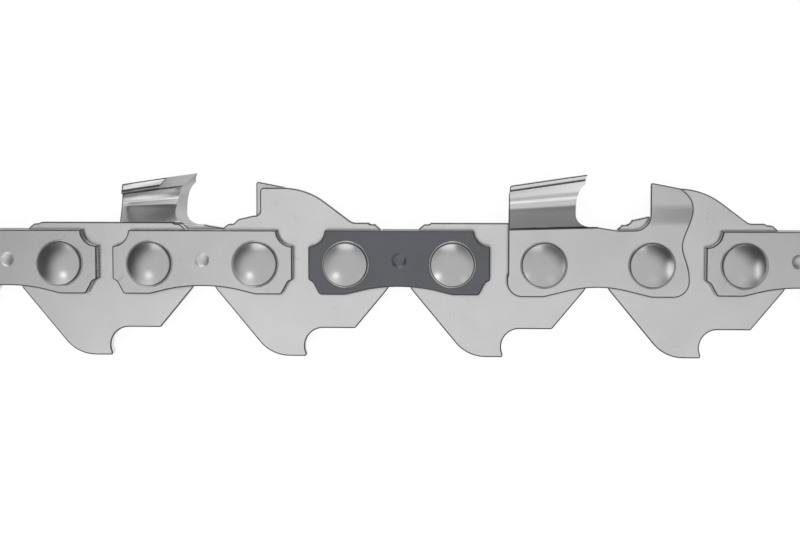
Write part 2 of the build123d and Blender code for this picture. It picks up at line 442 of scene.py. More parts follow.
def copy_of_node(node: str, name: str) -> bpy.types.Object:
    """Copies a CAD node's solid as a closed mesh.

    Args:
        node: The node's name.
        name: The new piece's name.

    Returns:
        The copy, with its doubles merged.
    """
    piece = bpy.data.objects.new(name, frame["nodes"][node].data.copy())
    piece.data.name = name
    bpy.context.scene.collection.objects.link(piece)
    take(piece)
    bpy.ops.object.mode_set(mode="EDIT")
    bpy.ops.mesh.select_all(action="SELECT")
    bpy.ops.mesh.remove_doubles(threshold=MERGE_NEAR)
    bpy.ops.object.mode_set(mode="OBJECT")
    return piece


def copy_of_piece(piece: bpy.types.Object, name: str, shift: Vector) -> bpy.types.Object:
    """Copies a finished piece, with a mesh of its own, to another place along the chain.

    Args:
        piece: The piece modelled first.
        name: The copy's name.
        shift: How far the copy's mesh is moved.

    Returns:
        The copy, with its object at the origin.
    """
    twin = bpy.data.objects.new(name, piece.data.copy())
    twin.data.name = name
    twin.data.transform(Matrix.Translation(shift))
    bpy.context.scene.collection.objects.link(twin)
    return twin


def cut_away(piece: bpy.types.Object, tool: bpy.types.Object) -> None:
    """Cuts a tool's shape out of a piece, and removes the tool.

    Args:
        piece: The piece that is kept.
        tool: The shape that is cut out of it.
    """
    take(piece)
    step = piece.modifiers.new("cut", "BOOLEAN")
    step.operation = "DIFFERENCE"
    step.solver = "EXACT"
    step.object = tool
    bpy.ops.object.modifier_apply(modifier=step.name)
    bpy.data.objects.remove(tool)


def weigh_edges(
    piece: bpy.types.Object, sharper_than: float, keep_sharp: Callable[[Vector, Vector], bool] | None = None
) -> None:
    """Marks the edges that a bevel is to break.

    Args:
        piece: The piece.
        sharper_than: The least angle between two faces, in degrees.
        keep_sharp: A test of an edge's two ends that names the edges left as they are.
    """
    mesh = bmesh.new()
    mesh.from_mesh(piece.data)
    weights = mesh.edges.layers.float
    layer = weights.get("bevel_weight_edge") or weights.new("bevel_weight_edge")
    for edge in mesh.edges:
        corner = edge.is_manifold and math.degrees(edge.calc_face_angle(0.0)) > sharper_than
        if corner and not (keep_sharp and keep_sharp(edge.verts[0].co, edge.verts[1].co)):
            edge[layer] = 1.0
    mesh.to_mesh(piece.data)
    mesh.free()


def break_edges(
    piece: bpy.types.Object,
    width: float,
    bend: Callable[[bpy.types.Object], None] | None = None,
) -> None:
    """Bevels the marked edges, gives them the piece's second finish, a dark colour painted on as edge shade,
    and smooths the shading between them.

    Args:
        piece: The piece, already dressed.
        width: The bevel's width, in metres.
        bend: What still moves the piece's points once its edges are broken.
    """
    take(piece)
    bevel = piece.modifiers.new("edges", "BEVEL")
    bevel.limit_method = "WEIGHT"
    bevel.width = width
    bevel.segments = BEVEL_SEGMENTS
    bevel.use_clamp_overlap = False
    bevel.miter_outer = "MITER_ARC"
    # The bevel's faces take the piece's second finish, a dark colour painted on as edge shade
    bevel.material = 1
    bpy.ops.object.modifier_apply(modifier=bevel.name)
    if bend:
        bend(piece)
    bpy.ops.object.shade_smooth_by_angle(angle=math.radians(SMOOTH_BELOW))
    level = piece.modifiers.new("flat_faces", "WEIGHTED_NORMAL")
    level.keep_sharp = True
    bpy.ops.object.modifier_apply(modifier=level.name)


def dress(piece: bpy.types.Object, *finishes: bpy.types.Material) -> None:
    """Gives a piece its finishes.

    Args:
        piece: The piece.
        finishes: That of its faces, the dark painted edge shade of its broken edges, and any others.
    """
    piece.data.materials.clear()
    for finish in finishes:
        piece.data.materials.append(finish)


def enrol(piece: bpy.types.Object, node: str, body: str) -> None:
    """Lets a piece stand for a CAD node and move with its body.

    Args:
        piece: The finished piece.
        node: The CAD node that it replaces.
        body: The body that it rides on.
    """
    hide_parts(node)
    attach(piece, body)
    log.info("%s stands for %s and rides on %s", piece.name, node, body)


@dataclass(frozen=True)
class ChainRow:
    """Where things stand along the chain, in metres.

    Args:
        pattern_length: One drive link and one pair of side plates.
        drive_share: Of that, what lies between a drive link's rivets.
        pair_count: Pairs of side plates.
        row_y: The line of the rivets.
        mid_z: The chain's mid plane.
        plate_inner: From the mid plane to a side plate's inner face.
        plate_outer: From the mid plane to its outer face.
    """

    pattern_length: float = 18.64 * MM
    drive_share: float = 0.46
    pair_count: int = 5
    row_y: float = 0.185 * MM
    mid_z: float = 3.20 * MM
    plate_inner: float = 0.67 * MM
    plate_outer: float = 1.82 * MM

    def pair_place(self, number: int) -> Vector:
        """The middle of a pair of side plates, counted from 1."""
        return Vector(((number - (self.pair_count + 1) / 2) * self.pattern_length, self.row_y, self.mid_z))

    def rivet_place(self, number: int) -> Vector:
        """Says where a rivet stands.

        Args:
            number: The rivet's number, counted from 1.

        Returns:
            Its middle.
        """
        pair, end = divmod(number - 1, 2)
        reach = self.pattern_length * (1 - self.drive_share) / 2
        return self.pair_place(pair + 1) + Vector(((2 * end - 1) * reach, 0, 0))


ROW = ChainRow()


@dataclass
class StampedPlates:
    """All the flat plates: drive links and tie straps, with their stamped edges broken.

    Args:
        bevel: Width of a broken edge, in metres.
        corner: The angle, in degrees, past which an edge is broken.
        dimple_rings: Radius and depth of the dimple's rings, in millimetres, from its rim inwards.
        dimple_radius: Radius of its rim, in millimetres.
        dimple_rise: Its middle over the rivets' line, in millimetres.
        dimple_sides: The sides of its rings.
        punch_height: Height of the punch that makes it, in metres.
        rim_near: How near to the rim a point of it lies, in metres.
        rim_flatter_than: The angle, in degrees, below which faces beside the dimple become one.
    """

    bevel: float = 0.12 * MM
    corner: float = 28.0
    dimple_rings: tuple[Point, ...] = ((0.60, 0.020), (0.45, 0.040), (0.26, 0.052), (0.08, 0.058))
    dimple_radius: float = 0.69
    dimple_rise: float = 0.37
    dimple_sides: int = 48
    punch_height: float = 0.5 * MM
    rim_near: float = 0.01 * MM
    rim_flatter_than: float = 0.1

    def dimple_tool(self, place: Vector, out: int) -> bpy.types.Object:
        """Makes the punch that leaves the shallow dimple in a strap's outer face.

        Args:
            place: The dimple's middle, on the strap's outer face.
            out: 1 where that face looks up, -1 where it looks down.

        Returns:
            The punch.
        """
        middle = place + Vector((0, 0, out * self.punch_height / 2))
        rim = self.dimple_radius * MM
        deselect_all()
        bpy.ops.mesh.primitive_cylinder_add(
            vertices=self.dimple_sides, radius=rim, depth=self.punch_height, location=middle
        )
        punch = rename("dimple_tool")
        settle(punch)
        bpy.ops.object.mode_set(mode="EDIT")
        select_faces(punch, lambda centre, normal: normal.z * out < -FACING)
        radius, depth = self.dimple_radius, 0.0
        for next_radius, next_depth in self.dimple_rings:
            step = (0, 0, out * (depth - next_depth) * MM)
            bpy.ops.mesh.extrude_region_move(TRANSFORM_OT_translate={"value": step})
            share = next_radius / radius
            centre = place - Vector((0, 0, out * next_depth * MM))
            bpy.ops.transform.resize(value=(share, share, 1), center_override=centre)
            radius, depth = next_radius, next_depth
        bpy.ops.mesh.poke()
        bpy.ops.object.mode_set(mode="OBJECT")
        return punch

    def mark_rim(self, piece: bpy.types.Object, place: Vector) -> None:
        """Keeps a dimple's rim crisp, so that the flat face round it shades flat.

        Args:
            piece: The strap with its dimple.
            place: The dimple's middle, on the strap's outer face.
        """
        tidy_mesh(piece, self.rim_flatter_than)
        rim, near = self.dimple_radius * MM, self.rim_near

        def on_rim(point: Vector) -> bool:
            """Tells whether a point lies on the rim."""
            return abs(point.z - place.z) < near and abs((point - place).xy.length - rim) < near

        bpy.ops.object.mode_set(mode="EDIT")
        select_edges(piece, lambda a, b: on_rim(a) and on_rim(b))
        bpy.ops.mesh.mark_sharp()
        bpy.ops.object.mode_set(mode="OBJECT")

    def build(self, materials: dict[str, bpy.types.Material]) -> None:
        """Replaces each plate's solid with its finished piece.

        Args:
            materials: The finishes by slot.
        """
        slots = {entry["node"]: entry["material_slot"] for entry in frame["record"]["subparts"]}
        for body, nodes in frame["record"]["behaviour"]["bodies"].items():
            for node in nodes:
                if "cutter" in node or "rivet" in node:
                    continue
                piece = copy_of_node(node, node + "_plate")
                tidy_mesh(piece)
                if "strap" in node:
                    out = 1 if "right" in node else -1
                    rise = Vector((0, self.dimple_rise * MM, out * ROW.plate_outer))
                    place = ROW.pair_place(int(node[-1])) + rise
                    cut_away(piece, self.dimple_tool(place, out))
                    self.mark_rim(piece, place)
                weigh_edges(piece, self.corner)
                # The second finish paints the broken edges dark, as shade
                dress(piece, materials[slots[node]], materials["edges"])
                break_edges(piece, self.bevel)
                enrol(piece, node, body)


@dataclass
class Rivets:
    """The rivets, turned once and copied: a shank and a crowned head in a rolled collar on each side.

    Args:
        sides: The sides of a turned ring.
        shank_radius: The shank's radius, in millimetres, as all that follows.
        collar: Radius and height over the plate of the collar's rings.
        crown_radius: The radius to which the head is crowned.
        crown_top: The crown's height over the plate.
        crown_rings: Radii of the crown's rings.
        smooth_below: The angle, in degrees, below which two faces shade as one.
    """

    sides: int = 72
    shank_radius: float = 1.75
    collar: tuple[Point, ...] = (
        (2.23, 0.0),
        (2.23, 0.03),
        (2.19, 0.06),
        (2.10, 0.06),
        (2.05, 0.02),
        (2.03, 0.06),
        (2.02, 0.48),
        (1.99, 0.545),
    )
    crown_radius: float = 17.0
    crown_top: float = 0.66
    crown_rings: tuple[float, ...] = (1.95, 1.90, 1.5, 1.1, 0.7, 0.3)
    smooth_below: float = 60.0

    def head_rings(self) -> list[Point]:
        """Lists the head's rings.

        Returns:
            Each ring's radius and its height over the plate, from the plate inwards.
        """
        falls = [self.crown_radius - math.sqrt(self.crown_radius**2 - ring**2) for ring in self.crown_rings]
        crown = [(ring, self.crown_top - fall) for ring, fall in zip(self.crown_rings, falls)]
        return list(self.collar) + crown

    def model(self) -> bpy.types.Object:
        """Turns one rivet at the origin.

        Returns:
            The rivet, standing along Z.
        """
        plate = ROW.plate_outer
        deselect_all()
        shank = self.shank_radius * MM
        bpy.ops.mesh.primitive_cylinder_add(vertices=self.sides, radius=shank, depth=2 * plate)
        rivet = rename("rivet_pattern")
        bpy.ops.object.mode_set(mode="EDIT")
        for out in (1, -1):
            select_faces(
                rivet,
                lambda centre, normal, out=out: normal.z * out > FACING and centre.z * out > FACING * plate,
            )
            radius, height = self.shank_radius, 0.0
            for next_radius, next_height in self.head_rings():
                step = (0, 0, out * (next_height - height) * MM)
                bpy.ops.mesh.extrude_region_move(TRANSFORM_OT_translate={"value": step})
                share = next_radius / radius
                centre = (0, 0, out * (plate + next_height * MM))
                bpy.ops.transform.resize(value=(share, share, 1), center_override=centre)
                radius, height = next_radius, next_height
            bpy.ops.mesh.poke()
            mesh = bmesh.from_edit_mesh(rivet.data)
            this_side = [vertex for vertex in mesh.verts if vertex.co.z * out > 0]
            tip = min(this_side, key=lambda vertex: vertex.co.xy.length)
            tip.co.z = out * (plate + self.crown_top * MM)
            bmesh.update_edit_mesh(rivet.data)
        bpy.ops.mesh.select_all(action="SELECT")
        bpy.ops.mesh.normals_make_consistent(inside=False)
        bpy.ops.object.mode_set(mode="OBJECT")
        bpy.ops.object.shade_smooth_by_angle(angle=math.radians(self.smooth_below))
        return rivet

    def build(self, materials: dict[str, bpy.types.Material]) -> None:
        """Puts a rivet in place of each rivet's solid.

        Args:
            materials: The finishes by slot.
        """
        pattern = self.model()
        dress(pattern, materials["rivet_steel"])
        for body, nodes in frame["record"]["behaviour"]["bodies"].items():
            for node in nodes:
                if node.startswith("rivet"):
                    rivet = copy_of_piece(pattern, node + "_turned", ROW.rivet_place(int(node.split("_")[1])))
                    enrol(rivet, node, body)
        bpy.data.objects.remove(pattern)


@dataclass
class Cutters:
    """The two cutters: a flat plate with its depth gauge, and a plate that flares out and folds over.

    The left-hand cutter is modelled and mirrored. Sizes are in millimetres from the middle of its pair,
    with the distance out from the mid plane counted as positive. A point of a section is its distance out
    and its height; the tip's section is given, and the plate tapers from it towards the heel.

    Args:
        bevel: Width of a broken edge, in metres.
        corner: The angle, in degrees, past which an edge is broken.
        heel_x: Where the heel stands along the chain.
        tip_x: Where the tip stands along it.
        tip_height: The top plate's height at the tip.
        top_slope: The top plate's slope, in degrees.
        front_x: Where the bent plate's foot ends and the flat plate goes on.
        seam_y: Where it starts over the flat plate.
        foot_height: How high its flat foot reaches over that.
        crease_turn_x: Where the crease at its foot starts to fall towards the front.
        crease_slope: How steeply the crease falls.
        inner_crease_rise: How far the inner crease lies over the outer one.
        half_width: From the mid plane to the plate's widest point.
        flare_end: The outer point where the flare passes into the fold.
        flare_rise: The share of the top's slope that this point follows.
        widest_y: Height of the widest point.
        widest_rise: The share of the top's slope that it follows.
        side_relief: How far the heel stands in from the front, for clearance.
        land_z: From the mid plane to the outer edge of the top.
        land_height: Height of the upright strip along that edge.
        plate_thickness: The top plate's thickness.
        edge_bevel: Width of the bevel under the top plate's free edge.
        inner_edge_z: From the mid plane to that edge, which lies past it.
        edge_lean: How far the edge's upper side stands back.
        inner_flare_end: The inner point where the flare ends.
        inner_fold_end: The inner point where the fold over it begins.
        inner_fold_fall: The share of the top's slope that this point follows.
        inner_corner_z: From the mid plane to the inner corner under the top plate.
        inner_fold_lean: The inner fold's lean from upright at its foot, in degrees.
        heel_cut: The point of the section from which the heel's edge is cut back.
        heel_lean: The cut's lean with the height, in degrees.
        heel_slant: Its slant with the distance out, in degrees.
        grind_angle: The ground front's angle across the chain, in degrees.
        grind_radius: Radius of the round file that grinds it.
        grind_y: Height of the file's middle.
        grind_x: How far back the file reaches at the widest point.
        hook_start: How far round the file's cylinder the ground front goes before it turns straight.
        grind_turns: How far round the file the outer flare's points lie, in degrees.
        crease_shares: Where points lie along the inner crease.
        inner_shares: Where they lie along the inner flare.
        waist_shares: Where they lie between the inner flare and its fold.
        gauge_from_x: The depth gauge stands in front of this.
        joggle: The heights between which the gauge's outer side bends.
        joggle_lead: From the bend's foot to its first level strip.
        joggle_steps: How many strips it gets.
        set_in: How far the gauge's top is set in.
        outer_skin: How deep under the plate's outer face a point still moves with the bend.
        fold_steps: How many pieces a fold of the section gets.
        ground_near: How near to the ground front a point lies on it.
        painted_near: The same, for the faces that show ground steel.
        bend_below: Room under the inner bend's lines, which stay unbroken.
        bend_above: Room over them.
        cut_room: Room for the bend beyond the heel, above the seam, and across.
        seam_merge: How near two points of the seam lie to be one.
        settle_rounds: Rounds of working out where a line ends.
    """

    bevel: float = 0.11 * MM
    corner: float = 24.0
    heel_x: float = -8.38
    tip_x: float = -1.09
    tip_height: float = 8.49
    top_slope: float = 8.5
    front_x: float = -0.05
    seam_y: float = 3.00
    foot_height: float = 0.60
    crease_turn_x: float = -1.341
    crease_slope: float = 0.030
    inner_crease_rise: float = 0.22
    half_width: float = 3.20
    flare_end: Point = (2.80, 4.85)
    flare_rise: float = 0.25
    widest_y: float = 6.10
    widest_rise: float = 0.5
    side_relief: float = 0.22
    land_z: float = 2.45
    land_height: float = 0.50
    plate_thickness: float = 0.97
    edge_bevel: float = 0.30
    inner_edge_z: float = -0.90
    edge_lean: float = 0.12
    inner_flare_end: Point = (1.98, 5.50)
    inner_fold_end: Point = (2.20, 6.35)
    inner_fold_fall: float = 0.64
    inner_corner_z: float = 1.75
    inner_fold_lean: float = 8.0
    heel_cut: Point = (2.20, 6.00)
    heel_lean: float = 5.4
    heel_slant: float = 9.1
    grind_angle: float = 35.0
    grind_radius: float = 2.22
    grind_y: float = 5.77
    grind_x: float = -2.15
    hook_start: float = 57.0
    grind_turns: tuple[float, ...] = (10.0, 20.0, 30.0, 40.0, 50.0, 58.0)
    crease_shares: tuple[float, ...] = (0.2, 0.6, 1.0)
    inner_shares: tuple[float, ...] = (0.16, 0.375, 0.585, 0.79)
    waist_shares: tuple[float, ...] = (0.0, 0.20, 0.40, 0.60, 0.80, 1.0)
    gauge_from_x: float = 2.0
    joggle: Point = (3.60, 5.84)
    joggle_lead: float = 0.1
    joggle_steps: int = 8
    set_in: float = 0.15
    outer_skin: float = 0.2
    fold_steps: int = 12
    ground_near: float = 0.012
    painted_near: float = 0.06
    bend_below: float = 0.6
    bend_above: float = 0.1
    cut_room: tuple[float, float, float] = (2.0, 8.0, 12.0)
    seam_merge: float = 0.003
    settle_rounds: int = 12

    def arc(self, start: Point, lean: Point, end: Point, steps: int) -> list[Point]:
        """Divides the arc that leaves one point in a given direction and ends at another.

        Args:
            start: Where it starts.
            lean: Its direction there, of length one.
            end: Where it ends.
            steps: How many pieces it gets.

        Returns:
            The points after the start, the end among them.
        """
        chord = (end[0] - start[0], end[1] - start[1])
        across = lean[0] * chord[1] - lean[1] * chord[0]
        radius = (chord[0] ** 2 + chord[1] ** 2) / (2 * across)
        centre = (start[0] - lean[1] * radius, start[1] + lean[0] * radius)
        spread = 2 * math.atan2(across, lean[0] * chord[0] + lean[1] * chord[1])
        arm = (start[0] - centre[0], start[1] - centre[1])
        points = []
        for step in range(1, steps + 1):
            turn = spread * step / steps
            out = centre[0] + arm[0] * math.cos(turn) - arm[1] * math.sin(turn)
            points.append((out, centre[1] + arm[0] * math.sin(turn) + arm[1] * math.cos(turn)))
        return points

    def section(self, station: float) -> list[tuple[Point, Point]]:
        """Draws the bent plate's section at one station.

        Args:
            station: How far along the chain from the middle of the pair.

        Returns:
            Rows of an outer and an inner point, from the crease to the free edge.
        """
        rise = (station - self.tip_x) * math.tan(math.radians(self.top_slope))
        top = self.tip_height + rise
        under = top - self.plate_thickness
        relief = self.side_relief * (self.grind_x - station) / (self.grind_x - self.heel_x)
        outer_z, inner_z = ROW.plate_outer / MM, ROW.plate_inner / MM
        floor = self.grind_y - self.grind_radius
        crease = floor + self.crease_slope * min(0.0, station - self.crease_turn_x)
        widest = (self.half_width - relief, self.widest_y + rise * self.widest_rise)
        flare = (self.flare_end[0] - relief, self.flare_end[1] + rise * self.flare_rise)
        inner_crease = (inner_z, crease + self.inner_crease_rise)
        (start_out, start_y), (end_out, end_y) = self.inner_flare_end, self.inner_fold_end
        inner_flare = (start_out - relief, start_y + rise * self.flare_rise)
        fold_y = end_y + self.inner_fold_fall * rise
        run = (end_out - start_out) / (end_y - start_y)
        inner_fold = (inner_flare[0] + run * (fold_y - inner_flare[1]), fold_y)
        land = (self.land_z - relief, top - self.land_height)
        corner = (self.inner_corner_z - relief, under)

        def between(a: Point, b: Point, share: float) -> Point:
            """The point at a share of the way from one point to another."""
            return (a[0] + (b[0] - a[0]) * share, a[1] + (b[1] - a[1]) * share)

        steps = [self.grind_radius * (1 - math.cos(math.radians(turn))) for turn in self.grind_turns]
        shares = [step / (self.flare_end[1] - floor) for step in steps] + [1.0]
        outer = [(outer_z, crease)] + [between((outer_z, crease), flare, share) for share in shares]
        outer += self.arc(widest, (0, -1), flare, len(self.waist_shares))[-2::-1] + [widest]
        outer += self.arc(widest, (0, 1), land, self.fold_steps - 1) + [(land[0], top)]
        outer += [(self.inner_edge_z + self.edge_bevel, top), (self.inner_edge_z + self.edge_lean, top)]
        inner = [(inner_z, crease)]
        inner += [between((inner_z, crease), inner_crease, share) for share in self.crease_shares]
        inner += [between(inner_crease, inner_flare, share) for share in self.inner_shares]
        inner += [between(inner_flare, inner_fold, share) for share in self.waist_shares]
        slope = math.atan2(inner_fold[1] - corner[1], inner_fold[0] - corner[0])
        lean = math.radians(90 - self.inner_fold_lean) + 2 * slope + math.pi / 2
        fold = self.arc(corner, (math.sin(lean), -math.cos(lean)), inner_fold, self.fold_steps)
        inner += fold[-2::-1] + [corner]
        edge = self.inner_edge_z
        inner += [(edge + self.edge_bevel, under), (edge, under + self.edge_bevel)]
        return list(zip(outer, inner))

    def place(self, pair: Vector, station: float, point: Point) -> Vector:
        """Turns a station and a section's point into a place on the left-hand cutter."""
        return pair + Vector((station, point[1], -point[0])) * MM

    def ground_station(self, out: float, height: float) -> float:
        """Says where the ground front crosses a line along the plate.

        Args:
            out: The line's distance from the mid plane.
            height: The line's height.

        Returns:
            The crossing's station.
        """
        turn, lean = math.radians(self.grind_angle), math.radians(self.hook_start)
        centre_x = self.grind_x + self.grind_radius / math.cos(turn)
        radius = self.grind_radius
        low = min(max(height - self.grind_y, -radius), radius * math.sin(lean))
        across = -math.sqrt(radius**2 - low**2)
        if height - self.grind_y > low:
            tip = (self.tip_x - centre_x) * math.cos(turn) - (self.land_z - self.half_width) * math.sin(turn)
            share = (height - self.grind_y - low) / (self.tip_height - self.grind_y - low)
            across += (tip - across) * share
        return centre_x + (across + (out - self.half_width) * math.sin(turn)) / math.cos(turn)

    def ends(self, row: int, inner: int) -> tuple[tuple[float, Point], tuple[float, Point]]:
        """Finds where one line of the bent plate starts at the heel and ends on the ground front.

        Args:
            row: The line's row in the section.
            inner: 1 for the inner line of that row, 0 for the outer one.

        Returns:
            For each end its station and the section's point there.
        """
        lean, slant = math.tan(math.radians(self.heel_lean)), math.tan(math.radians(self.heel_slant))
        heel, front = self.heel_x, self.tip_x
        for _ in range(self.settle_rounds):
            out, height = self.section(heel)[row][inner]
            cut = (height - self.heel_cut[1]) * lean - (out - self.heel_cut[0]) * slant
            heel = self.heel_x + max(0.0, cut)
            out, height = self.section(front)[row][inner]
            front = self.ground_station(out, height)
        return (heel, self.section(heel)[row][inner]), (front, self.section(front)[row][inner])

    def bent_plate(self, pair: Vector) -> bpy.types.Object:
        """Draws the bent plate up from its flat foot, line by line along the section.

        Args:
            pair: The middle of the pair.

        Returns:
            The plate, its front on the ground face and its heel cut back.
        """
        rows = [[self.ends(row, inner) for inner in (0, 1)] for row in range(len(self.section(self.tip_x)))]
        floor = self.grind_y - self.grind_radius
        at_end = 0.01 * MM
        deselect_all()
        bpy.ops.mesh.primitive_cube_add(size=2)
        plate = rename("bent_plate")
        bpy.ops.object.mode_set(mode="EDIT")
        mesh = bmesh.from_edit_mesh(plate.data)
        for vertex in mesh.verts:
            station = self.front_x if vertex.co.x > 0 else self.heel_x
            out = rows[0][int(vertex.co.z > 0)][0][1][0]
            vertex.co = self.place(pair, station, (out, floor if vertex.co.y > 0 else self.seam_y))
        bmesh.update_edit_mesh(plate.data)
        select_faces(plate, lambda centre, normal: normal.y > FACING)
        cut = [self.place(pair, *line[1]) for line in rows[0]]
        bpy.ops.mesh.bisect(plane_co=cut[0], plane_no=(cut[1] - cut[0]).cross(Vector((0, 1, 0))))
        mesh = bmesh.from_edit_mesh(plate.data)
        heel_y = rows[0][0][0][1][1]
        for vertex in mesh.verts:
            high = vertex.co.y > pair.y + floor * MM - at_end
            if high and vertex.co.x < pair.x + self.heel_x * MM + at_end:
                vertex.co.y = pair.y + heel_y * MM
        bmesh.update_edit_mesh(plate.data)
        middle_x = pair.x + self.grind_x * MM
        select_faces(plate, lambda centre, normal: normal.y > FACING and centre.x < middle_x)
        corners = [self.place(pair, station, point) for line in rows[0] for station, point in line]
        for row in rows[1:]:
            bpy.ops.mesh.extrude_region_move(TRANSFORM_OT_translate={"value": (0, TOUCHING / 2, 0)})
            mesh = bmesh.from_edit_mesh(plate.data)
            moved = [vertex for vertex in mesh.verts if vertex.select]
            found = [min(moved, key=lambda vertex, old=old: (vertex.co - old).length) for old in corners]
            corners = [self.place(pair, station, point) for line in row for station, point in line]
            for vertex, target in zip(found, corners):
                vertex.co = target
            bmesh.update_edit_mesh(plate.data)
        bpy.ops.mesh.select_all(action="SELECT")
        bpy.ops.mesh.normals_make_consistent(inside=False)
        self.open_seam(plate, pair)
        return plate

    def open_seam(self, piece: bpy.types.Object, pair: Vector) -> None:
        """Takes away the faces where the bent plate and the flat one are to be joined.

        Args:
            piece: Either of the two, in edit mode.
            pair: The middle of the pair.
        """
        seam, front = pair.y + self.seam_y * MM, pair.x + self.front_x * MM

        def on_seam(centre: Vector, normal: Vector) -> bool:
            """Tells whether a face closes the foot below, or its end in front.

            Args:
                centre: The face's middle.
                normal: Its normal.

            Returns:
                Whether it does.
            """
            foot = abs(centre.y - seam) < TOUCHING and abs(normal.y) > FACING and centre.x < front
            end = abs(centre.x - front) < TOUCHING and abs(normal.x) > FACING and centre.y > seam
            return foot or end

        select_faces(piece, on_seam)
        bpy.ops.mesh.delete(type="ONLY_FACE")
        bpy.ops.object.mode_set(mode="OBJECT")

    def match_seam(self, bent: bpy.types.Object, flat: bpy.types.Object, pair: Vector) -> None:
        """Divides the bent plate's foot where the flat plate's edge along the seam has points.

        Args:
            bent: The bent plate.
            flat: The flat plate.
            pair: The middle of the pair.
        """
        seam, top = pair.y + self.seam_y * MM, pair.y + (self.seam_y + self.foot_height) * MM
        first, last = pair.x + self.heel_x * MM + TOUCHING, pair.x + self.front_x * MM - TOUCHING
        points = [vertex.co.copy() for vertex in flat.data.vertices]
        points = [point for point in points if abs(point.y - seam) < TOUCHING and first < point.x < last]
        take(bent)
        bpy.ops.object.mode_set(mode="EDIT")
        for point in points:

            def beside(centre: Vector, normal: Vector, point: Vector = point) -> bool:
                """Tells whether a face is the foot's side that the point lies on."""
                return abs(centre.z - point.z) < TOUCHING and abs(normal.z) > SQUARE and centre.y < top

            select_faces(bent, beside)
            bpy.ops.mesh.bisect(plane_co=point, plane_no=(1, 0, 0), threshold=TOUCHING / 10)
        bpy.ops.object.mode_set(mode="OBJECT")

    def flat_plate(self, pair: Vector) -> bpy.types.Object:
        """Copies the cutter's solid without the part that is bent.

        Args:
            pair: The middle of the pair.

        Returns:
            The flat plate with its depth gauge, open at the seam.
        """
        plate = copy_of_node("left_cutter", "left_cutter_plate")
        beyond, high, across = self.cut_room
        size = Vector((self.front_x - self.heel_x + beyond, high, across)) * MM
        middle = pair + Vector((self.front_x * MM - size.x / 2, self.seam_y * MM + size.y / 2, 0))
        deselect_all()
        bpy.ops.mesh.primitive_cube_add(size=1, location=middle)
        room = rename("room_for_the_bend")
        room.scale = size
        settle(room)
        cut_away(plate, room)
        tidy_mesh(plate)
        self.level_strips(plate, pair)
        bpy.ops.object.mode_set(mode="EDIT")
        self.open_seam(plate, pair)
        return plate

    def is_ground(self, pair: Vector, mirrored: int, point: Vector, near: float) -> bool:
        """Tells whether a point lies on the ground front of a cutter.

        Args:
            pair: The middle of its pair.
            mirrored: -1 for the left-hand cutter, 1 for the right-hand one.
            point: The point.
            near: How near it has to lie.

        Returns:
            Whether it does.
        """
        place = (point - pair) / MM
        turn = math.radians(self.grind_angle)
        off = (place.x - self.ground_station(place.z * mirrored, place.y)) * math.cos(turn)
        high = place.y - self.grind_y
        if high > -FACING * self.grind_radius:
            return abs(off) < near
        across = off - math.sqrt(max(self.grind_radius**2 - high**2, 0.0))
        if across > 0 and place.x < self.front_x + near:
            return abs(high + self.grind_radius) < near
        return across < near and abs(math.hypot(across, high) - self.grind_radius) < near

    def level_strips(self, plate: bpy.types.Object, pair: Vector) -> None:
        """Flattens the depth gauge's outer side and divides it into level strips, for the bend to come.

        Args:
            plate: The flat plate.
            pair: The middle of the pair.
        """
        low, high = self.joggle
        outer = -ROW.plate_outer / MM

        def gauge_face(centre: Vector, normal: Vector) -> bool:
            """Tells whether a face is on the gauge's outer side, above the bend's foot."""
            place = (centre - pair) / MM
            in_front = place.x > self.gauge_from_x and place.y > low
            return in_front and normal.z < -FACING and place.z < outer + 2 * self.set_in

        take(plate)
        bpy.ops.object.mode_set(mode="EDIT")
        select_faces(plate, gauge_face)
        bpy.ops.mesh.dissolve_faces(use_verts=True)
        foot = low + self.joggle_lead
        for step in range(1, self.joggle_steps + 1):
            level = self.place(pair, 0, (0, foot + (high - foot) * step / self.joggle_steps))
            select_faces(plate, gauge_face)
            bpy.ops.mesh.bisect(plane_co=level, plane_no=(0, 1, 0), threshold=TOUCHING / 10)
        select_faces(plate, gauge_face)
        mesh = bmesh.from_edit_mesh(plate.data)
        for vertex in mesh.verts:
            if vertex.select:
                vertex.co.z = pair.z + outer * MM
        bmesh.update_edit_mesh(plate.data)
        bpy.ops.object.mode_set(mode="OBJECT")

    def bend_gauge(self, piece: bpy.types.Object, pair: Vector, mirrored: int) -> None:
        """Sets the depth gauge's outer side in towards the mid plane, along a shallow double bend.

        Args:
            piece: A cutter with its edges broken.
            pair: The middle of its pair.
            mirrored: -1 for the left-hand cutter, 1 for the right-hand one.
        """
        low, high = self.joggle
        skin = ROW.plate_outer / MM - self.outer_skin
        for vertex in piece.data.vertices:
            place = (vertex.co - pair) / MM
            if place.x > self.gauge_from_x and place.y > low and place.z * mirrored > skin:
                share = min((place.y - low) / (high - low), 1.0)
                vertex.co.z -= mirrored * self.set_in * share * share * (3 - 2 * share) * MM

    def shape(self) -> bpy.types.Object:
        """Models the left-hand cutter, its edges still sharp.

        Returns:
            The cutter.
        """
        pair = ROW.pair_place(2)
        bent = self.bent_plate(pair)
        cutter = self.flat_plate(pair)
        self.match_seam(bent, cutter, pair)
        take(cutter)
        bent.select_set(True)
        bpy.ops.object.join()
        bpy.ops.object.mode_set(mode="EDIT")
        bpy.ops.mesh.select_all(action="SELECT")
        bpy.ops.mesh.remove_doubles(threshold=self.seam_merge * MM)
        bpy.ops.mesh.delete_loose()
        bpy.ops.mesh.select_all(action="SELECT")
        bpy.ops.mesh.normals_make_consistent(inside=False)
        top = pair.y + (self.seam_y + self.foot_height) * MM
        select_faces(cutter, lambda centre, normal: centre.y < top)
        bpy.ops.mesh.dissolve_limited(angle_limit=math.radians(COPLANAR))
        bpy.ops.object.mode_set(mode="OBJECT")
        return cutter

